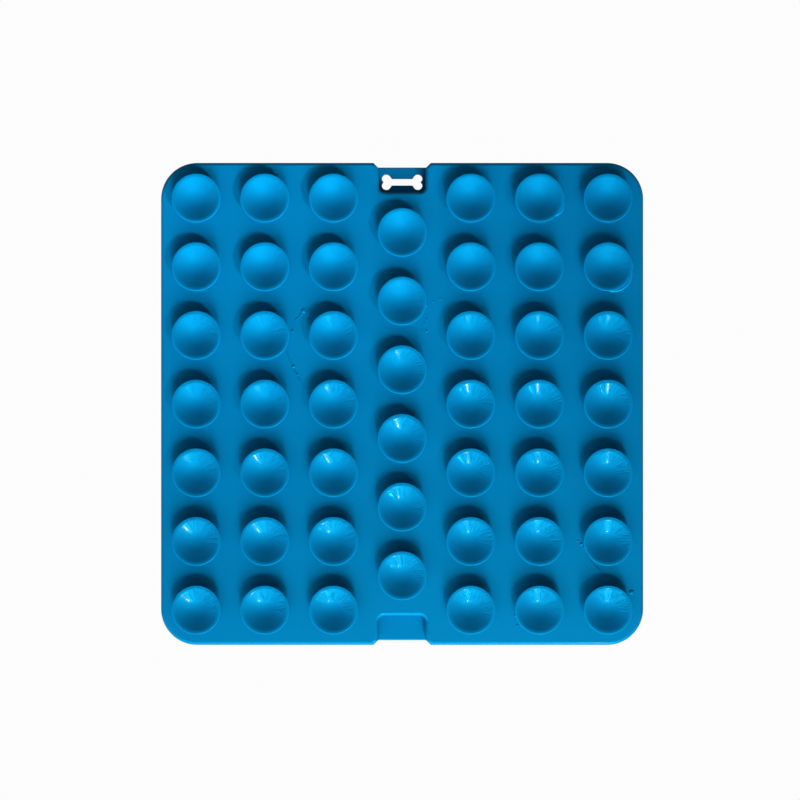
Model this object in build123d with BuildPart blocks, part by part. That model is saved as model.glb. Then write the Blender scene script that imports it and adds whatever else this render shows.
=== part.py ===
# Square silicone lick mat, lying on its licking face with its suction cups up.
# Millimetres. Z = 0 is the plane of the rim that the mat rests on, the origin is at the middle of that
# plane, and +Y points at the edge with the hanging hole.

import os

from build123d import *

# Tray: a floor panel with a wall round its edge, open towards -Z
mat_side = 200.0
mat_height = 8.0
panel_thickness = 2.5
wall_thickness = 3.0
corner_radius = 15.0
back_edge_round = 1.6

# Suction cups on the back: conical cups with a thin lip, each on a short neck and faceted all round
cup_rim_radius = 10.0
cup_neck_radius = 5.0
cup_neck_height = 1.0
cup_height = 4.6
cup_lip_width = 0.5
cavity_depth = 3.5
cup_sides = 24
cup_edge_gap = 5.6
column_count = 7
full_column_cups = 7

# Notches in the upper and lower edge, each closed at the rim by a thin tab
notch_width = 19.4
notch_depth = 12.2
notch_corner_radius = 2.5
notch_mouth_chamfer = 2.2
tab_thickness = 1.8
tab_set_in = 0.8

# Bone-shaped hanging hole
bone_side_margin = 1.2
bone_back_margin = 1.9
bone_height = 6.7
bone_shaft_width = 3.0
bone_lobe_radius = 1.9
bone_neck_radius = 0.6

# Licking texture: four fields of drafted studs and ribs, and the ribs that divide them
texture_height = 4.0
texture_draft_angle = 6.0
field_gap = 1.5
rim_lane = 6.0
divider_width = 3.0
divider_height = 4.5
stud_side = 6.0
studs_per_row = 5
rib_width = 3.2
rib_count = 7
dash_length = 11.0
dash_width = 3.6
dashes_per_row = 5
slant_rib_width = 3.6
slant_rib_count = 11
slant_angle = 45.0

# Worked out from the sizes above
half_side = mat_side / 2
wall_height = mat_height - panel_thickness
cup_pitch = (mat_side - 2 * (cup_rim_radius + cup_edge_gap)) / (column_count - 1)
well_side = mat_side - 2 * wall_thickness
pocket_width = notch_width + 2 * wall_thickness
pocket_depth = notch_depth + wall_thickness
tab_depth = notch_depth - tab_set_in
bone_length = notch_width - 2 * bone_side_margin
field_near = pocket_width / 2 + field_gap
field_far = well_side / 2 - rim_lane
field_side = field_far - field_near
field_centre = (field_near + field_far) / 2

os.makedirs("parts", exist_ok=True)


def write(piece, name):
    """Label a finished piece and write it to its own file."""
    piece.part.label = name
    export_step(piece.part, f"parts/{name}.step")


def middle_corners(sketch, width):
    """The corners of a notch pair, in rows from the lower edge to the upper one."""
    return sketch.vertices().filter_by_position(Axis.X, -width, width).group_by(Axis.Y)


def tray_floor(x, y):
    """The floor of the tray at a point, seen from the licking side."""
    return Plane((x, y, wall_height), x_dir=(1, 0, 0), z_dir=(0, 0, -1))


def drafted_bar(length, width):
    """A stud or rib of the licking texture, its sides leaning in so that it leaves its mould."""
    with BuildPart() as bar:
        with BuildSketch():
            Rectangle(length, width)
        extrude(amount=texture_height)
        draft(bar.faces().filter_by(Axis.Z, reverse=True), Plane.XY, texture_draft_angle)
    return bar.part


# Outline of the mat, with a notch in the middle of its upper and lower edge, cut off at its mouth
with BuildSketch() as mat_outline:
    RectangleRounded(mat_side, mat_side, corner_radius)
    with Locations((0, half_side), (0, -half_side)):
        Rectangle(notch_width, 2 * notch_depth, mode=Mode.SUBTRACT)
    mouth_low, deep_low, deep_high, mouth_high = middle_corners(mat_outline, notch_width)
    chamfer(mouth_low + mouth_high, notch_mouth_chamfer)
    fillet(deep_low + deep_high, notch_corner_radius)

# Inside of the tray, which steps in round each notch by the thickness of the wall
with BuildSketch() as tray_well:
    RectangleRounded(well_side, well_side, corner_radius - wall_thickness)
    with Locations((0, half_side), (0, -half_side)):
        Rectangle(pocket_width, 2 * pocket_depth, mode=Mode.SUBTRACT)
    _, deep_low, deep_high, _ = middle_corners(tray_well, pocket_width)
    fillet(deep_low + deep_high, notch_corner_radius + wall_thickness)

# Back panel: the floor sheet, with its back edge rounded all the way round
with BuildPart() as back_panel:
    with BuildSketch(Plane.XY.offset(wall_height)):
        add(mat_outline.sketch)
    extrude(amount=panel_thickness)
    fillet(back_panel.faces().sort_by(Axis.Z)[-1].edges(), back_edge_round)
write(back_panel, "back_panel")

# Rim wall: the edge that keeps the food in
with BuildPart() as rim_wall:
    with BuildSketch():
        add(mat_outline.sketch)
        add(tray_well.sketch, mode=Mode.SUBTRACT)
    extrude(amount=wall_height)
write(rim_wall, "rim_wall")

# Bone shape of the hanging hole: a straight shaft that flares into two round lobes at each end
lobe_spread_x = bone_length - 2 * bone_lobe_radius
lobe_spread_y = bone_height - 2 * bone_lobe_radius
with BuildSketch() as bone:
    Rectangle(lobe_spread_x, bone_shaft_width)
    with GridLocations(lobe_spread_x, lobe_spread_y, 2, 2):
        Circle(bone_lobe_radius)
    fillet(bone.vertices().filter_by_position(Axis.X, -lobe_spread_x / 2, lobe_spread_x / 2), bone_neck_radius)

# Lift tab and hang tab: webs that fill the foot of each notch, out to just short of the mat's edge
tab_middle = half_side - notch_depth + tab_depth / 2
with BuildPart() as lift_tab:
    with BuildSketch():
        with Locations((0, -tab_middle)):
            Rectangle(pocket_width, tab_depth)
        add(mat_outline.sketch, mode=Mode.SUBTRACT)
    extrude(amount=tab_thickness)
write(lift_tab, "lift_tab")

bone_middle = half_side - notch_depth + bone_back_margin + bone_height / 2
with BuildPart() as hang_tab:
    with BuildSketch():
        with Locations((0, tab_middle)):
            Rectangle(pocket_width, tab_depth)
        add(mat_outline.sketch, mode=Mode.SUBTRACT)
        with Locations((0, bone_middle)):
            add(bone.sketch, mode=Mode.SUBTRACT)
    extrude(amount=tab_thickness)
write(hang_tab, "hang_tab")

# Divider ribs: one right across the tray, and one from it to each notch pocket
half_rib_length = half_side - pocket_depth - divider_width / 2
half_rib_middle = (divider_width + half_rib_length) / 2
with BuildPart() as divider_ribs:
    with BuildSketch(tray_floor(0, 0)):
        Rectangle(well_side, divider_width)
        with GridLocations(0, 2 * half_rib_middle, 1, 2):
            Rectangle(divider_width, half_rib_length)
    extrude(amount=divider_height)
write(divider_ribs, "divider_ribs")

# Stud field: rows of square studs
stud = drafted_bar(stud_side, stud_side)
stud_pitch = (field_side - stud_side) / (studs_per_row - 1)
with BuildPart() as stud_field:
    with Locations(tray_floor(-field_centre, field_centre)):
        with GridLocations(stud_pitch, stud_pitch, studs_per_row, studs_per_row):
            add(stud)
write(stud_field, "stud_field")

# Rib field: long straight ribs side by side
rib = drafted_bar(field_side, rib_width)
rib_pitch = (field_side - rib_width) / (rib_count - 1)
with BuildPart() as rib_field:
    with Locations(tray_floor(field_centre, field_centre)):
        with GridLocations(0, rib_pitch, 1, rib_count):
            add(rib)
write(rib_field, "rib_field")

# Weave field: short ribs that lie along and across by turns
dash = drafted_bar(dash_length, dash_width)
dash_pitch = (field_side - dash_length) / (dashes_per_row - 1)
dash_reach = (field_side - dash_length) / 2
with BuildPart() as weave_field:
    with Locations(tray_floor(-field_centre, -field_centre)):
        for index in range(dashes_per_row**2):
            row, place = divmod(index, dashes_per_row)
            with Locations((place * dash_pitch - dash_reach, row * dash_pitch - dash_reach)):
                add(dash, rotation=(0, 0, 90 * (index % 2)))
write(weave_field, "weave_field")

# Slant field: diagonal ribs cut off at the edges of their field
slant_rib = drafted_bar(2 * field_side, slant_rib_width)
slant_pitch = 2 * field_side / (slant_rib_count + 1)
slant_floor = tray_floor(field_centre, -field_centre)
with BuildPart() as slant_field:
    with Locations(slant_floor):
        with GridLocations(slant_pitch, 0, slant_rib_count, 1):
            add(slant_rib, rotation=(0, 0, slant_angle))
    with BuildSketch(slant_floor):
        Rectangle(field_side, field_side)
    extrude(amount=texture_height, mode=Mode.INTERSECT)
write(slant_field, "slant_field")

# Shape of one suction cup, standing on the origin: a flare cut off at the panel, its neck and its cavity
flare_slope = (cup_height - cup_neck_height) / (cup_rim_radius - cup_neck_radius)
flare_tip = cup_height - flare_slope * cup_rim_radius
with BuildSketch(Plane.XY.offset(cup_height)) as cup_rim:
    RegularPolygon(cup_rim_radius, cup_sides)
with BuildSketch(Plane.XY.offset(cup_height)) as cup_mouth:
    RegularPolygon(cup_rim_radius - cup_lip_width, cup_sides)
with BuildPart() as cup_shape:
    loft([cup_rim.sketch.face(), Vertex(0, 0, flare_tip)])
    split(bisect_by=Plane.XY)
    with BuildSketch():
        RegularPolygon(cup_neck_radius, cup_sides)
    extrude(amount=cup_neck_height)
    loft([cup_mouth.sketch.face(), Vertex(0, 0, cup_height - cavity_depth)], mode=Mode.SUBTRACT)

# Suction cups: seven columns, the middle one a cup short and half a step out of line
for column in range(column_count):
    in_middle = 2 * column == column_count - 1
    cups = full_column_cups - 1 if in_middle else full_column_cups
    for row in range(cups):
        x = (column - (column_count - 1) / 2) * cup_pitch
        y = ((cups - 1) / 2 - row) * cup_pitch
        with BuildPart() as suction_cup:
            with Locations((x, y, mat_height)):
                add(cup_shape.part)
        write(suction_cup, f"suction_cup_c{column + 1}_r{row + 1}")
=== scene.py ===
import math

import bmesh
import bpy
from mathutils import Matrix, Vector


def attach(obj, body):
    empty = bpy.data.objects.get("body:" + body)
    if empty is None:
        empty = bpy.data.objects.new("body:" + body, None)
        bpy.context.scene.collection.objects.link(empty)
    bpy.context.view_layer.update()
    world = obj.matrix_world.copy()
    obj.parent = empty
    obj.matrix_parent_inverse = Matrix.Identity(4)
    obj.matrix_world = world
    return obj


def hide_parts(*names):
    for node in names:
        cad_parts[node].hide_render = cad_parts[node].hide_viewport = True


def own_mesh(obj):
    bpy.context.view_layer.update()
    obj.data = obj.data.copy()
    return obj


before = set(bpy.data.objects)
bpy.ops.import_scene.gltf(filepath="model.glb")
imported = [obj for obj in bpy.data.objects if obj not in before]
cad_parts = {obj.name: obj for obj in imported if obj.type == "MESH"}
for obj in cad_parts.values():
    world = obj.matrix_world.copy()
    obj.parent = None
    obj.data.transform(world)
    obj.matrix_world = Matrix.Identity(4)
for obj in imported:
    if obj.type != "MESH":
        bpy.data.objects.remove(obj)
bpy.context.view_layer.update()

# Tray: the floor panel and the wall round its edge, one skin of blue silicone rubber.
# It lies on its rim with its smooth back up, and the edge of the back is rounded by the mould.
# All sizes are in millimetres until a mesh is finished.
millimetre = 0.001
half_side = 100.0
mat_height = 8.0
floor_height = 5.5
wall_thickness = 3.0
corner_radius = 15.0
back_edge_round = 1.6
rim_edge_round = 0.45
notch_half_width = 9.7
notch_depth = 12.2
notch_corner_radius = 2.5
notch_mouth_chamfer = 2.2
pocket_mouth_round = 0.8
floor_edge_round = 0.6
grain_depth = 0.05
deep_blue = (0.0, 0.108, 0.27, 1.0)
pale_blue = (0.0, 0.126, 0.312, 1.0)
shine_blue = (0.0, 0.58, 1.0, 1.0)


def moulded_skin_group():
    """Shader group: the slight clouding and the fine satin grain that a mould leaves on silicone."""
    group = bpy.data.node_groups.new("moulded_skin", "ShaderNodeTree")
    inputs = (
        ("Deep Colour", "NodeSocketColor", deep_blue),
        ("Pale Colour", "NodeSocketColor", pale_blue),
        ("Roughness", "NodeSocketFloat", 0.4),
        ("Roughness Spread", "NodeSocketFloat", 0.08),
        ("Grain", "NodeSocketFloat", 0.5),
    )
    for name, kind, value in inputs:
        group.interface.new_socket(name, in_out="INPUT", socket_type=kind).default_value = value
    group.interface.new_socket("Colour", in_out="OUTPUT", socket_type="NodeSocketColor")
    group.interface.new_socket("Roughness", in_out="OUTPUT", socket_type="NodeSocketFloat")
    group.interface.new_socket("Height", in_out="OUTPUT", socket_type="NodeSocketFloat")
    nodes, links = group.nodes, group.links
    given = nodes.new("NodeGroupInput")
    result = nodes.new("NodeGroupOutput")
    place = nodes.new("ShaderNodeTexCoord")
    clouds = nodes.new("ShaderNodeTexNoise")
    clouds.inputs["Scale"].default_value = 26.0
    clouds.inputs["Detail"].default_value = 3.0
    grain = nodes.new("ShaderNodeTexNoise")
    grain.inputs["Scale"].default_value = 2600.0
    grain.inputs["Detail"].default_value = 2.0
    for noise in (clouds, grain):
        links.new(place.outputs["Object"], noise.inputs["Vector"])
    colour = nodes.new("ShaderNodeMix")
    colour.data_type = "RGBA"
    links.new(clouds.outputs["Fac"], colour.inputs["Factor"])
    links.new(given.outputs["Deep Colour"], colour.inputs["A"])
    links.new(given.outputs["Pale Colour"], colour.inputs["B"])
    links.new(colour.outputs["Result"], result.inputs["Colour"])
    spread = nodes.new("ShaderNodeMath")
    spread.operation = "MULTIPLY_ADD"
    links.new(clouds.outputs["Fac"], spread.inputs[0])
    links.new(given.outputs["Roughness Spread"], spread.inputs[1])
    links.new(given.outputs["Roughness"], spread.inputs[2])
    links.new(spread.outputs["Value"], result.inputs["Roughness"])
    height = nodes.new("ShaderNodeMath")
    height.operation = "MULTIPLY"
    links.new(grain.outputs["Fac"], height.inputs[0])
    links.new(given.outputs["Grain"], height.inputs[1])
    links.new(height.outputs["Value"], result.inputs["Height"])
    return group


moulded_skin = moulded_skin_group()


def silicone(name, roughness, grain, coat):
    """Blue silicone with the moulded skin, at its own gloss and with a thin oily coat."""
    material = bpy.data.materials.new(name)
    material.use_nodes = True
    nodes, links = material.node_tree.nodes, material.node_tree.links
    shader = nodes["Principled BSDF"]
    skin = nodes.new("ShaderNodeGroup")
    skin.node_tree = moulded_skin
    skin.inputs["Deep Colour"].default_value = deep_blue
    skin.inputs["Pale Colour"].default_value = pale_blue
    skin.inputs["Roughness"].default_value = roughness
    skin.inputs["Grain"].default_value = grain
    bump = nodes.new("ShaderNodeBump")
    bump.inputs["Strength"].default_value = 0.25
    bump.inputs["Distance"].default_value = grain_depth * millimetre
    links.new(skin.outputs["Height"], bump.inputs["Height"])
    links.new(skin.outputs["Colour"], shader.inputs["Base Color"])
    links.new(skin.outputs["Roughness"], shader.inputs["Roughness"])
    links.new(bump.outputs["Normal"], shader.inputs["Normal"])
    shader.inputs["IOR"].default_value = 1.5
    shader.inputs["Specular IOR Level"].default_value = 1.0
    shader.inputs["Specular Tint"].default_value = shine_blue
    shader.inputs["Coat Weight"].default_value = coat
    shader.inputs["Coat Roughness"].default_value = 0.1
    return material


def loop_of_corners(bm, corners, z):
    """A flat face from its corner points."""
    return bm.faces.new([bm.verts.new((x, y, z)) for x, y in corners])


def round_corners(bm, picked, radius, segments):
    """Round corners of a flat face to an arc."""
    bmesh.ops.bevel(
        bm, geom=picked, offset=radius, offset_type="OFFSET", segments=segments,
        profile=0.5, affect="VERTICES", material=-1,
    )


def round_edges(bm, picked, radius, segments):
    """Round edges of a solid."""
    bmesh.ops.bevel(
        bm, geom=picked, offset=radius, offset_type="OFFSET", segments=segments,
        profile=0.5, affect="EDGES", material=-1, clamp_overlap=True,
    )


def raise_face(bm, picked, rise):
    """Pull faces along Z."""
    pulled = bmesh.ops.extrude_face_region(bm, geom=picked)["geom"]
    moved = [item for item in pulled if isinstance(item, bmesh.types.BMVert)]
    bmesh.ops.translate(bm, vec=(0, 0, rise), verts=moved)


def open_underside(bm):
    """Take away the face that a block has at Z = 0."""
    underside = [f for f in bm.faces if f.calc_center_median().z < 1e-6]
    bmesh.ops.delete(bm, geom=underside, context="FACES_ONLY")


def level_edges(bm, z):
    """The edges that lie flat at a height."""
    return [e for e in bm.edges if all(abs(v.co.z - z) < 1e-4 for v in e.verts)]


def outer_level_edges(bm, z):
    """The edges round a flat face at a height, where it meets a side."""
    return [e for e in level_edges(bm, z) if len({round(abs(f.normal.z), 1) for f in e.link_faces}) > 1]


def set_piece(bm, name, body, nodes, material, flat_faces):
    """Turn a finished mesh into a piece of the mat that rides on its body and stands for its nodes."""
    bmesh.ops.scale(bm, vec=(millimetre, millimetre, millimetre), verts=bm.verts)
    mesh = bpy.data.meshes.new(name)
    bm.to_mesh(mesh)
    bm.free()
    mesh.shade_smooth()
    mesh.set_sharp_from_angle(angle=math.radians(50))
    mesh.materials.append(material)
    piece = bpy.data.objects.new(name, mesh)
    bpy.context.scene.collection.objects.link(piece)
    if flat_faces:
        piece.modifiers.new("flat_faces", "WEIGHTED_NORMAL").keep_sharp = True
    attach(piece, body)
    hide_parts(*nodes)
    return piece


def notched_square(half, half_width, depth):
    """Corner points of a square with a notch in the middle of its lower and upper edge."""
    inner = half - depth
    lower = [(-half, -half), (-half_width, -half), (-half_width, -inner)]
    lower += [(half_width, -inner), (half_width, -half), (half, -half)]
    return lower + [(-x, -y) for x, y in lower]


def corners_near(bm, half_width, y):
    """The corner points at a distance to both sides of the middle, in X and in Y."""
    return [
        v for v in bm.verts
        if abs(abs(v.co.x) - half_width) < 1e-3 and abs(abs(v.co.y) - y) < 1e-3
    ]


back_satin = silicone("silicone_back", 0.56, 0.5, 0.05)

bm = bmesh.new()
loop_of_corners(bm, notched_square(half_side, notch_half_width, notch_depth), 0)
round_corners(bm, corners_near(bm, half_side, half_side), corner_radius, 20)
round_corners(bm, corners_near(bm, notch_half_width, half_side), notch_mouth_chamfer, 1)
round_corners(bm, corners_near(bm, notch_half_width, half_side - notch_depth), notch_corner_radius, 8)
raise_face(bm, list(bm.faces), mat_height)
open_underside(bm)
bmesh.ops.recalc_face_normals(bm, faces=bm.faces)

# The hollow of the tray steps in round both notches, and a flat ring joins it to the outside
well = bmesh.new()
well_half = half_side - wall_thickness
pocket_half_width = notch_half_width + wall_thickness
loop_of_corners(well, notched_square(well_half, pocket_half_width, notch_depth), 0)
round_corners(well, corners_near(well, well_half, well_half), corner_radius - wall_thickness, 20)
round_corners(well, corners_near(well, pocket_half_width, well_half), pocket_mouth_round, 4)
pocket_corners = corners_near(well, pocket_half_width, well_half - notch_depth)
round_corners(well, pocket_corners, notch_corner_radius + wall_thickness, 8)
raise_face(well, list(well.faces), floor_height)
open_underside(well)
bmesh.ops.recalc_face_normals(well, faces=well.faces)
bmesh.ops.reverse_faces(well, faces=well.faces)
hollow = bpy.data.meshes.new("hollow")
well.to_mesh(hollow)
well.free()
bm.from_mesh(hollow)
bpy.data.meshes.remove(hollow)
bmesh.ops.triangle_fill(bm, edges=level_edges(bm, 0), use_beauty=True, use_dissolve=True)
bmesh.ops.recalc_face_normals(bm, faces=bm.faces)
round_edges(bm, outer_level_edges(bm, mat_height), back_edge_round, 8)
round_edges(bm, outer_level_edges(bm, 0), rim_edge_round, 3)
round_edges(bm, outer_level_edges(bm, floor_height), floor_edge_round, 4)

# Small faults of the moulding on the back: drops of silicone, each with its place and size, and thin threads
drops = [
    (-40.9, 38.4, 0.75), (-45.3, 30.1, 0.5), (-44.9, 15.5, 0.55), (-43.2, 12.2, 0.5), (-43.9, 48.8, 0.3),
    (-32.6, 46.3, 0.3), (-33.9, 41.3, 0.25), (10.1, 40.9, 0.5), (13.0, 42.3, 0.35), (15.7, 43.4, 0.4),
    (10.1, 35.0, 0.35), (9.5, 33.0, 0.3), (10.1, 30.1, 0.5), (7.6, 30.5, 0.3), (94.9, -77.9, 0.75),
    (46.9, -87.5, 0.4), (47.5, -91.6, 0.35), (72.8, -56.7, 0.4), (74.1, -58.0, 0.5), (75.3, -59.2, 0.35),
]
threads = [
    [(-41.2, 37.8), (-42.3, 36.2), (-44.3, 34.6)],
    [(-48.0, 22.2), (-45.9, 15.9), (-43.4, 11.4), (-41.4, 8.1)],
    [(76.2, -62.1), (79.1, -66.3), (82.4, -69.6)],
]
thread_radius = 0.2
thread_height = 0.32
thread_overlap = 1.1
drop_spread = 1.35
drop_rise = 0.6


def add_blob(bm, x, y, length, width, height, turn):
    """A flat round blob half sunk into the back."""
    made = bmesh.ops.create_icosphere(bm, subdivisions=2, radius=1.0)["verts"]
    bmesh.ops.scale(bm, vec=(length, width, height), verts=made)
    bmesh.ops.rotate(bm, cent=(0, 0, 0), matrix=Matrix.Rotation(turn, 3, "Z"), verts=made)
    bmesh.ops.translate(bm, vec=(x, y, mat_height), verts=made)


for x, y, size in drops:
    add_blob(bm, x, y, drop_spread * size, drop_spread * size, drop_rise * size, 0)
for thread in threads:
    for (x, y), (next_x, next_y) in zip(thread, thread[1:]):
        reach = thread_overlap * math.hypot(next_x - x, next_y - y)
        turn = math.atan2(next_y - y, next_x - x)
        middle_x, middle_y = (x + next_x) / 2, (y + next_y) / 2
        add_blob(bm, middle_x, middle_y, reach / 2, thread_radius, thread_height, turn)
set_piece(bm, "tray_shell", "mat", ["back_panel", "rim_wall"], back_satin, True)

# Hang tab: a thin web of the same silicone across the foot of the upper notch, moulded with the wall.
# A bone-shaped hole goes through it, so that the mat hangs on a hook.
tab_thickness = 1.8
tab_side_root = 1.7
tab_back_root = 0.6
tab_set_in = 0.8
tab_front_round = 0.7
tab_edge_round = 0.25
tab_half_width = notch_half_width + tab_side_root
tab_back = half_side - notch_depth - tab_back_root
tab_front = half_side - tab_set_in
bone_back_margin = 1.9
bone_half_length = 8.5
bone_half_height = 3.35
bone_lobe_radius = 1.9
bone_shaft_half = 1.5
bone_neck_x = 4.3
bone_lobe_x = bone_half_length - bone_lobe_radius
bone_lobe_y = bone_half_height - bone_lobe_radius
bone_middle = half_side - notch_depth + bone_back_margin + bone_half_height


def tab_corners(low, high):
    """Corner points of a web between two places along Y."""
    return [(-tab_half_width, low), (tab_half_width, low), (tab_half_width, high), (-tab_half_width, high)]


def bone_loop(bm):
    """Edges of a bone: four round lobes, joined by the two sides of a straight shaft."""
    notch_angle = math.asin(bone_lobe_y / bone_lobe_radius)
    reach = math.hypot(bone_lobe_x - bone_neck_x, bone_shaft_half - bone_lobe_y)
    touch_angle = math.pi - math.acos(bone_lobe_radius / reach)
    lobe_turn = touch_angle + notch_angle
    chains = []
    for side_x, side_y in ((1, 1), (-1, 1), (-1, -1), (1, -1)):
        middle = Vector((side_x * bone_lobe_x, bone_middle + side_y * bone_lobe_y, tab_thickness))
        arm = Vector((math.cos(notch_angle) * side_x, -math.sin(notch_angle) * side_y, 0))
        first = bm.verts.new(middle + arm * bone_lobe_radius)
        turn = lobe_turn * side_x * side_y
        bmesh.ops.spin(bm, geom=[first], cent=middle, axis=(0, 0, 1), angle=turn, steps=20)
        bm.verts.ensure_lookup_table()
        chains.append((first, bm.verts[-1]))
    for left, right, side_y in ((1, 0, 1), (2, 3, -1)):
        y = bone_middle + side_y * bone_shaft_half
        corners = [bm.verts.new((side_x * bone_neck_x, y, tab_thickness)) for side_x in (-1, 1)]
        run = [chains[left][1], *corners, chains[right][1]]
        for one, other in zip(run, run[1:]):
            bm.edges.new((one, other))
    bmesh.ops.remove_doubles(bm, verts=bm.verts, dist=1e-3)


def round_tab(bm):
    """Round a web along its free edge, and less along the others."""
    front = [
        e for e in outer_level_edges(bm, tab_thickness)
        if all(abs(abs(v.co.y) - tab_front) < 1e-3 for v in e.verts)
    ]
    round_edges(bm, front, tab_front_round, 5)
    round_edges(bm, outer_level_edges(bm, tab_thickness), tab_edge_round, 3)
    round_edges(bm, outer_level_edges(bm, 0), tab_edge_round, 2)


web_satin = silicone("silicone_web", 0.58, 0.6, 0.05)

bm = bmesh.new()
bone_loop(bm)
sheet = loop_of_corners(bm, tab_corners(tab_back, tab_front), tab_thickness)
bmesh.ops.delete(bm, geom=[sheet], context="FACES_ONLY")
bmesh.ops.triangle_fill(bm, edges=bm.edges, use_beauty=True, use_dissolve=True)
raise_face(bm, list(bm.faces), -tab_thickness)
bmesh.ops.recalc_face_normals(bm, faces=bm.faces)
round_tab(bm)
set_piece(bm, "hanging_web", "mat", ["hang_tab"], web_satin, True)

# Lift tab: the same silicone web without a hole, at the foot of the lower notch and moulded with the wall.
# A fingertip goes under it to peel the mat off the floor.
bm = bmesh.new()
loop_of_corners(bm, tab_corners(-tab_front, -tab_back), 0)
raise_face(bm, list(bm.faces), tab_thickness)
bmesh.ops.recalc_face_normals(bm, faces=bm.faces)
round_tab(bm)
set_piece(bm, "lifting_web", "mat", ["lift_tab"], web_satin, True)

# Divider ribs: a cross of low silicone ribs that parts the licking side into four fields.
# They stand on the tray floor, moulded with it, and point down here.
divider_half_width = 1.5
divider_height = 4.5
divider_top_round = 0.6
divider_reach = half_side - notch_depth - wall_thickness
licking_satin = silicone("silicone_licking_side", 0.5, 0.8, 0.05)

bm = bmesh.new()
arm = [(well_half, -divider_half_width), (well_half, divider_half_width)]
arm += [(divider_half_width, divider_half_width), (divider_half_width, divider_reach)]
quarter = arm + [(-x, y) for x, y in reversed(arm)]
loop_of_corners(bm, quarter + [(-x, -y) for x, y in quarter[2:-2]], floor_height)
raise_face(bm, list(bm.faces), -divider_height)
bmesh.ops.recalc_face_normals(bm, faces=bm.faces)
round_edges(bm, outer_level_edges(bm, floor_height - divider_height), divider_top_round, 4)
set_piece(bm, "licking_dividers", "mat", ["divider_ribs"], licking_satin, True)

# Licking texture: square studs, long ribs, a weave of short ribs and slanted ribs, one kind in each field.
# All are silicone, moulded with the tray floor. Their sides lean in, so that they leave the mould, and their
# tops are rounded, so that they don't scratch a tongue.
texture_height = 4.0
texture_top_round = 0.5
texture_lean = math.tan(math.radians(6.0))
field_gap = 1.5
rim_lane = 6.0
stud_side = 6.0
studs_per_row = 5
rib_width = 3.2
rib_count = 7
dash_length = 11.0
dash_width = 3.6
dashes_per_row = 5
slant_rib_width = 3.6
slant_rib_count = 11
field_near = pocket_half_width + field_gap
field_far = well_half - rim_lane
field_side = field_far - field_near
field_middle = (field_near + field_far) / 2


def add_bar(bm, x, y, length, width, turn):
    """One drafted bar standing on the tray floor, its top down."""
    made = bmesh.ops.create_cube(bm, size=1.0)["verts"]
    bmesh.ops.scale(bm, vec=(length, width, texture_height), verts=made)
    narrowing = 2 * texture_height * texture_lean
    top = [v for v in made if v.co.z < 0]
    bmesh.ops.scale(bm, vec=(1 - narrowing / length, 1 - narrowing / width, 1), verts=top)
    bmesh.ops.rotate(bm, cent=(0, 0, 0), matrix=Matrix.Rotation(turn, 3, "Z"), verts=made)
    bmesh.ops.translate(bm, vec=(x, y, floor_height - texture_height / 2), verts=made)


def top_edges(bm):
    """The edges round the tops of bars, and the upright ones at their corners."""
    foot = floor_height - 1e-3
    return [e for e in bm.edges if not all(v.co.z > foot for v in e.verts)]


def spread_evenly(middle, size, count):
    """Places of a row of like things that fills a field."""
    step = (field_side - size) / (count - 1)
    return [middle + (index - (count - 1) / 2) * step for index in range(count)]


bm = bmesh.new()
for x in spread_evenly(-field_middle, stud_side, studs_per_row):
    for y in spread_evenly(field_middle, stud_side, studs_per_row):
        add_bar(bm, x, y, stud_side, stud_side, 0)
round_edges(bm, top_edges(bm), texture_top_round, 3)
set_piece(bm, "licking_studs", "mat", ["stud_field"], licking_satin, True)

bm = bmesh.new()
for y in spread_evenly(field_middle, rib_width, rib_count):
    add_bar(bm, field_middle, y, field_side, rib_width, 0)
round_edges(bm, top_edges(bm), texture_top_round, 3)
set_piece(bm, "licking_ribs", "mat", ["rib_field"], licking_satin, True)

bm = bmesh.new()
dash_places = spread_evenly(-field_middle, dash_length, dashes_per_row)
for row, y in enumerate(dash_places):
    for place, x in enumerate(dash_places):
        add_bar(bm, x, y, dash_length, dash_width, math.pi / 2 * ((row + place) % 2))
round_edges(bm, top_edges(bm), texture_top_round, 3)
set_piece(bm, "licking_weave", "mat", ["weave_field"], licking_satin, True)

bm = bmesh.new()
slant_step = 2 * field_side / (slant_rib_count + 1)
for index in range(slant_rib_count):
    x = field_middle + (index - (slant_rib_count - 1) / 2) * slant_step
    add_bar(bm, x, -field_middle, 2 * field_side, slant_rib_width, -math.pi / 4)
for normal in ((1, 0, 0), (-1, 0, 0), (0, 1, 0), (0, -1, 0)):
    corner = Vector((field_middle, -field_middle, 0)) + Vector(normal) * field_side / 2
    cut = bmesh.ops.bisect_plane(
        bm, geom=[*bm.verts, *bm.edges, *bm.faces], plane_co=corner, plane_no=normal, clear_outer=True
    )
    bmesh.ops.holes_fill(bm, edges=[e for e in cut["geom_cut"] if isinstance(e, bmesh.types.BMEdge)])
bmesh.ops.recalc_face_normals(bm, faces=bm.faces)
round_edges(bm, top_edges(bm), texture_top_round, 3)
set_piece(bm, "licking_slants", "mat", ["slant_field"], licking_satin, True)

# Suction cups: shallow cones with a bowl in the middle and a lip that rolls over, each on a short neck.
# They are soft silicone, moulded in one with the back, and sink towards it when the mat is pressed down.
column_count = 7
full_column_cups = 7
cup_edge_gap = 5.6
cup_rim_radius = 10.0
cup_neck_radius = 5.0
cup_neck_height = 1.0
cup_neck_round = 0.6
cup_foot_spread = 1.2
cup_foot_sink = 0.05
cup_foot_round = 0.9
cup_height = 4.6
cup_edge_radius = 0.15
cup_lip_radius = 3.8
cavity_inner_slope = math.radians(22.0)
cavity_outer_slope = math.radians(25.0)
cavity_middle_radius = 4.3
cup_pitch = 2 * (half_side - cup_rim_radius - cup_edge_gap) / (column_count - 1)
fold_depth = 0.12
fold_share_at_top = 0.2
fold_share_per_row = 0.25
seed_per_column = 3.7
seed_per_row = 1.3
# The lip of each cup is painted paler: a painted glow of light through its thin silicone, between these
# radii.
lip_glow_start = 0.945
lip_glow_full = 0.985
painted_lip_glow_blue = (0.0, 0.155, 0.385, 1.0)
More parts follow.
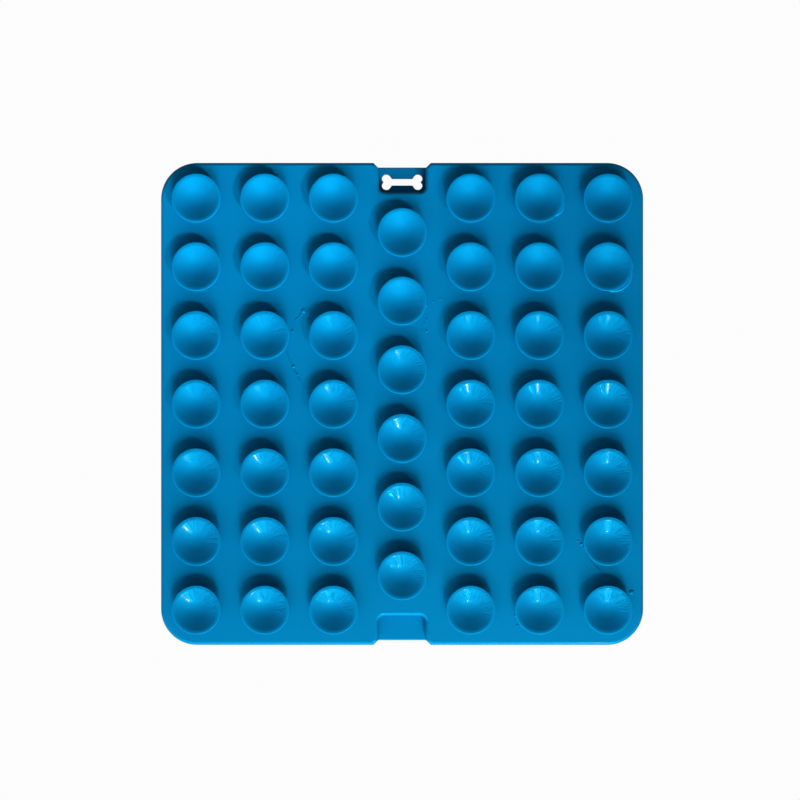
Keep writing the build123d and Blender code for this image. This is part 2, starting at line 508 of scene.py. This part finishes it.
cup_satin = silicone("silicone_cup", 0.56, 0.4, 0.08)


def cup_place_group():
    """Shader group: marks worked out from the place within a cup, its radial folds and the mask of the
    painted glow on its thin lip.
    """
    group = bpy.data.node_groups.new("place_in_cup", "ShaderNodeTree")
    group.interface.new_socket("Fold Height", in_out="OUTPUT", socket_type="NodeSocketFloat")
    group.interface.new_socket("Painted Lip Glow", in_out="OUTPUT", socket_type="NodeSocketFloat")
    nodes, links = group.nodes, group.links
    result = nodes.new("NodeGroupOutput")

    def smooth_step(source, low, high):
        """A soft rise from 0 to 1 between two values."""
        step = nodes.new("ShaderNodeMapRange")
        step.interpolation_type = "SMOOTHSTEP"
        step.inputs["From Min"].default_value = low
        step.inputs["From Max"].default_value = high
        links.new(source, step.inputs["Value"])
        return step.outputs["Result"]

    def joined(kind, operation, first, second):
        """The outcome of a sum on two sockets, or on a socket and a fixed value."""
        node = nodes.new(kind)
        node.operation = operation
        links.new(first, node.inputs[0])
        if isinstance(second, bpy.types.NodeSocket):
            links.new(second, node.inputs[1])
        elif second is not None:
            node.inputs[1].default_value = second
        return node

    place = nodes.new("ShaderNodeAttribute")
    place.attribute_name = "place_in_cup"
    axes = nodes.new("ShaderNodeSeparateXYZ")
    links.new(place.outputs["Vector"], axes.inputs["Vector"])
    flat = nodes.new("ShaderNodeCombineXYZ")
    links.new(axes.outputs["X"], flat.inputs["X"])
    links.new(axes.outputs["Y"], flat.inputs["Y"])
    radius = joined("ShaderNodeVectorMath", "LENGTH", flat.outputs["Vector"], None).outputs["Value"]
    bearing = joined("ShaderNodeVectorMath", "NORMALIZE", flat.outputs["Vector"], None).outputs["Vector"]
    drift = joined("ShaderNodeMath", "MULTIPLY", radius, 0.3).outputs["Value"]
    depth = joined("ShaderNodeMath", "ADD", drift, axes.outputs["Z"]).outputs["Value"]
    lane = nodes.new("ShaderNodeCombineXYZ")
    links.new(depth, lane.inputs["Z"])
    spot = joined("ShaderNodeVectorMath", "ADD", bearing, lane.outputs["Vector"]).outputs["Vector"]
    folds = nodes.new("ShaderNodeTexNoise")
    folds.inputs["Scale"].default_value = 4.5
    folds.inputs["Detail"].default_value = 2.0
    links.new(spot, folds.inputs["Vector"])
    centred = joined("ShaderNodeMath", "SUBTRACT", folds.outputs["Fac"], 0.5).outputs["Value"]
    crossing = joined("ShaderNodeMath", "ABSOLUTE", centred, None).outputs["Value"]
    crease = smooth_step(crossing, 0.0, 0.05)
    side = joined("ShaderNodeVectorMath", "DOT_PRODUCT", bearing, (0.6, 0.8, 0.0)).outputs["Value"]
    band = joined(
        "ShaderNodeMath", "MULTIPLY", smooth_step(radius, 0.2, 0.6), smooth_step(radius, 0.97, 0.85)
    ).outputs["Value"]
    patch = joined("ShaderNodeMath", "MULTIPLY", band, smooth_step(side, 0.1, 0.7)).outputs["Value"]
    full = joined("ShaderNodeMath", "MULTIPLY", crease, patch).outputs["Value"]
    share = nodes.new("ShaderNodeAttribute")
    share.attribute_name = "fold_share"
    height = joined("ShaderNodeMath", "MULTIPLY", full, share.outputs["Fac"]).outputs["Value"]
    links.new(height, result.inputs["Fold Height"])
    links.new(smooth_step(radius, lip_glow_start, lip_glow_full), result.inputs["Painted Lip Glow"])
    return group


def dress_cup(material):
    """Lay the folds under the grain of a silicone material, and paint its thin lip paler: a painted glow of
    light through the thin silicone.
    """
    nodes, links = material.node_tree.nodes, material.node_tree.links
    marks = nodes.new("ShaderNodeGroup")
    marks.node_tree = cup_place_group()
    bump = nodes.new("ShaderNodeBump")
    bump.inputs["Strength"].default_value = 1.0
    bump.inputs["Distance"].default_value = fold_depth * millimetre
    links.new(marks.outputs["Fold Height"], bump.inputs["Height"])
    links.new(bump.outputs["Normal"], nodes["Bump"].inputs["Normal"])
    # Painted glow: the lip's colour is mixed towards a paler blue.
    painted_lip_glow = nodes.new("ShaderNodeMix")
    painted_lip_glow.data_type = "RGBA"
    painted_lip_glow.inputs["B"].default_value = painted_lip_glow_blue
    links.new(marks.outputs["Painted Lip Glow"], painted_lip_glow.inputs["Factor"])
    links.new(nodes["Group"].outputs["Colour"], painted_lip_glow.inputs["A"])
    links.new(painted_lip_glow.outputs["Result"], nodes["Principled BSDF"].inputs["Base Color"])


dress_cup(cup_satin)


def sweep(bm, start, centre, turn, steps):
    """Carry a point round a centre in the XZ plane, and return the last point of the arc."""
    bmesh.ops.spin(bm, geom=[start], cent=(centre[0], 0, centre[1]), axis=(0, 1, 0), angle=turn, steps=steps)
    bm.verts.ensure_lookup_table()
    return bm.verts[-1]


def add_corners(bm, last, corners):
    """Carry an outline on in the XZ plane through corner points."""
    for radius, z in corners:
        corner = bm.verts.new((radius, 0, z))
        bm.edges.new((last, corner))
        last = corner


def cup_profile(bm):
    """Half of a cup's outline in the XZ plane, from the middle of its cavity over the lip to its foot."""
    lip_top = cup_rim_radius - cup_edge_radius
    wall_top = lip_top - cup_lip_radius * math.sin(cavity_outer_slope)
    wall_top_z = cup_height - cup_lip_radius * (1 - math.cos(cavity_outer_slope))
    wall_turn = cavity_outer_slope - cavity_inner_slope
    wall_bend = math.sin(cavity_outer_slope) - math.sin(cavity_inner_slope)
    wall_radius = (wall_top - cavity_middle_radius) / wall_bend
    wall_x = wall_top - wall_radius * math.sin(cavity_outer_slope)
    wall_z = wall_top_z + wall_radius * math.cos(cavity_outer_slope)
    wall_foot_z = wall_z - wall_radius * math.cos(cavity_inner_slope)
    tip = bm.verts.new((0, 0, wall_foot_z - cavity_middle_radius * math.tan(cavity_inner_slope / 2)))
    bowl_radius = cavity_middle_radius / math.sin(cavity_inner_slope)
    last = sweep(bm, tip, (0, tip.co.z + bowl_radius), -cavity_inner_slope, 8)
    last = sweep(bm, last, (wall_x, wall_z), -wall_turn, 4)
    last = sweep(bm, last, (lip_top, cup_height - cup_lip_radius), cavity_outer_slope, 6)
    last = sweep(bm, last, (lip_top, cup_height - cup_edge_radius), math.pi / 2, 4)
    outline = [
        (cup_neck_radius, cup_neck_height),
        (cup_neck_radius, 0),
        (cup_neck_radius + cup_foot_spread, 0),
        (cup_neck_radius + cup_foot_spread, -cup_foot_sink),
        (0, -cup_foot_sink),
    ]
    add_corners(bm, last, outline)


def ring_edges(bm, radius, z):
    """The edges of the ring at a radius and a height round the Z axis."""
    return [
        e for e in bm.edges
        if all(abs(math.hypot(v.co.x, v.co.y) - radius) < 1e-3 and abs(v.co.z - z) < 1e-3 for v in e.verts)
    ]


def cup_mesh():
    """A whole cup standing on the origin, its outline spun round and its neck rounded at both ends."""
    bm = bmesh.new()
    cup_profile(bm)
    bmesh.ops.spin(
        bm, geom=[*bm.verts, *bm.edges], cent=(0, 0, 0), axis=(0, 0, 1), angle=2 * math.pi,
        steps=72, use_merge=True,
    )
    bmesh.ops.remove_doubles(bm, verts=bm.verts, dist=1e-4)
    bmesh.ops.recalc_face_normals(bm, faces=bm.faces)
    round_edges(bm, ring_edges(bm, cup_neck_radius, 0), cup_foot_round, 4)
    round_edges(bm, ring_edges(bm, cup_neck_radius, cup_neck_height), cup_neck_round, 4)
    return bm


# Threads of flash that were not trimmed off two of the cups: the bearings that each spans, and its reach
flash_width = 0.7
flash_thickness = 0.25
flash_threads = {
    "c6_r1": [(-48, -6, 1.2), (-10, 32, 0.5), (55, 88, 0.7)],
    "c7_r2": [(-88, -10, 1.4), (-14, 28, 0.6), (76, 100, 0.6)],
}


def add_flash(bm, start, end, reach):
    """A flat thread of flash that bows out from the lip, faces outwards and joins it at both ends."""
    known = set(bm.verts)
    ring = bmesh.ops.create_circle(bm, cap_ends=True, segments=8, radius=0.5)["verts"]
    bmesh.ops.scale(bm, vec=(flash_width, flash_thickness, 1), verts=ring)
    for angle, axis in ((math.pi / 2, "X"), (math.pi / 4, "Y")):
        bmesh.ops.rotate(bm, cent=(0, 0, 0), matrix=Matrix.Rotation(angle, 3, axis), verts=ring)
    inset = flash_width / 2
    bmesh.ops.translate(bm, vec=(cup_rim_radius - inset, 0, cup_height - inset), verts=ring)
    bmesh.ops.rotate(bm, cent=(0, 0, 0), matrix=Matrix.Rotation(math.radians(start), 3, "Z"), verts=ring)
    cap = ring[0].link_faces[0]
    bmesh.ops.spin(
        bm, geom=[*ring, *cap.edges, cap], cent=(0, 0, 0), axis=(0, 0, 1),
        angle=math.radians(end - start), steps=18,
    )
    made = [v for v in bm.verts if v not in known]
    for v in made:
        along = (math.degrees(math.atan2(v.co.y, v.co.x)) - start) / (end - start)
        out = 1 + reach * max(0.0, math.sin(math.pi * along)) ** 0.6 / cup_rim_radius
        v.co = (v.co.x * out, v.co.y * out, v.co.z)
    bmesh.ops.recalc_face_normals(bm, faces=list({f for v in made for f in v.link_faces}))


def note_place(bm, seed, fold_share):
    """Keep each point's place within its cup, in rim radii, with the cup's own seed and depth of folds."""
    layer = bm.verts.layers.float_vector.new("place_in_cup")
    share = bm.verts.layers.float.new("fold_share")
    for v in bm.verts:
        v[layer] = Vector((v.co.x / cup_rim_radius, v.co.y / cup_rim_radius, seed))
        v[share] = fold_share


middle_column = (column_count - 1) // 2
for column in range(column_count):
    cups = full_column_cups - 1 if column == middle_column else full_column_cups
    for row in range(cups):
        place = f"c{column + 1}_r{row + 1}"
        bm = cup_mesh()
        for thread in flash_threads.get(place, []):
            add_flash(bm, *thread)
        fold_share = min(1.0, fold_share_at_top + fold_share_per_row * row)
        note_place(bm, seed_per_column * column + seed_per_row * row, fold_share)
        x = (column - middle_column) * cup_pitch
        y = ((cups - 1) / 2 - row) * cup_pitch
        bmesh.ops.translate(bm, vec=(x, y, mat_height), verts=bm.verts)
        cup = set_piece(bm, f"soft_cup_{place}", f"cup_{place}", [f"suction_cup_{place}"], cup_satin, False)
        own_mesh(cup)

# Floor, light and camera: a white floor under a white dome, a weak sky, and soft lights low over the mat's
# lower edge. A beam brightens its upper left, a strip lightens its lower edge, a small lamp gives the glints
# in the cups, and the camera looks straight down.
light_tint = (0.04, 1.0, 1.0)
glint_tint = (0.9, 0.9, 0.4)
white = bpy.data.materials.new("white_paper")
white.use_nodes = True
paper = white.node_tree.nodes["Principled BSDF"]
paper.inputs["Base Color"].default_value = (0, 0, 0, 1)
paper.inputs["Roughness"].default_value = 1.0
paper.inputs["Specular IOR Level"].default_value = 0.0
paper.inputs["Emission Color"].default_value = (1, 1, 1, 1)
paper.inputs["Emission Strength"].default_value = 0.975


def set_stage(name):
    """Make the newest object a plain white backdrop that neither lights nor shades the mat."""
    backdrop = bpy.context.object
    backdrop.name = name
    backdrop.data.materials.append(white)
    backdrop.visible_diffuse = False
    backdrop.visible_glossy = False
    backdrop.visible_shadow = False


bpy.ops.mesh.primitive_plane_add(size=12, location=(0, 0, -0.0001))
set_stage("floor")
bpy.ops.mesh.primitive_uv_sphere_add(radius=5)
set_stage("dome")

world = bpy.context.scene.world or bpy.data.worlds.new("studio")
bpy.context.scene.world = world
world.use_nodes = True
world.node_tree.nodes["Background"].inputs["Color"].default_value = (1, 1, 1, 1)
world.node_tree.nodes["Background"].inputs["Strength"].default_value = 0.165


def aim(light, target):
    """Point a lamp at a place."""
    light.rotation_euler = (Vector(target) - light.location).to_track_quat("-Z", "Y").to_euler()


def place_lamp(lamp, target, bearing, height, reach):
    """Set a lamp off from its target, at a bearing to the right of the mat's lower edge and a height."""
    light = bpy.data.objects.new(lamp.name, lamp)
    bpy.context.scene.collection.objects.link(light)
    level, rise = math.cos(math.radians(height)), math.sin(math.radians(height))
    right, down = math.sin(math.radians(bearing)), math.cos(math.radians(bearing))
    light.location = Vector(target) + reach * Vector((right * level, -down * level, rise))
    aim(light, target)
    return light


def soft_light(name, energy, spread, bearing, height):
    """A wide and distant panel of light."""
    lamp = bpy.data.lights.new(name, "SUN")
    lamp.energy = energy
    lamp.angle = math.radians(spread)
    lamp.color = light_tint
    place_lamp(lamp, (0, 0, 0), bearing, height, 1.0)


soft_light("key", 1.2, 11, 14, 43)
soft_light("upper_fill", 1.9, 13, 12, 30)
soft_light("lower_fill", 2.1, 14, 10, 18)
soft_light("side_fill", 1.1, 36, -18, 25)
soft_light("low_fill", 0.75, 30, -55, 14)

beam = bpy.data.lights.new("beam", "SPOT")
beam.energy = 145.0
beam.color = light_tint
beam.shadow_soft_size = 0.12
beam.spot_size = math.radians(11)
beam.spot_blend = 1.0
place_lamp(beam, (-0.13, 0.19, 0), 38, 36, 1.2)

bounce = bpy.data.lights.new("bounce", "AREA")
bounce.shape = "RECTANGLE"
bounce.size = 0.30
bounce.size_y = 0.02
bounce.energy = 0.16
bounce.color = light_tint
place_lamp(bounce, (0, -0.1, 0), 0, 55, 0.15)

glint = bpy.data.lights.new("glint", "POINT")
glint.energy = 27.0
glint.color = glint_tint
glint.shadow_soft_size = 0.05
place_lamp(glint, (0, 0, 0), 18, 43, 1.5).visible_diffuse = False

lens = bpy.data.cameras.new("overhead")
lens.sensor_width = 36.0
lens.lens = 50.58
camera = bpy.data.objects.new("overhead", lens)
bpy.context.scene.collection.objects.link(camera)
camera.location = (-0.00088, 0.00163, 0.473)
camera.rotation_euler = (0, 0, 0)
bpy.context.scene.camera = camera
bpy.context.scene.view_settings.view_transform = "Standard"
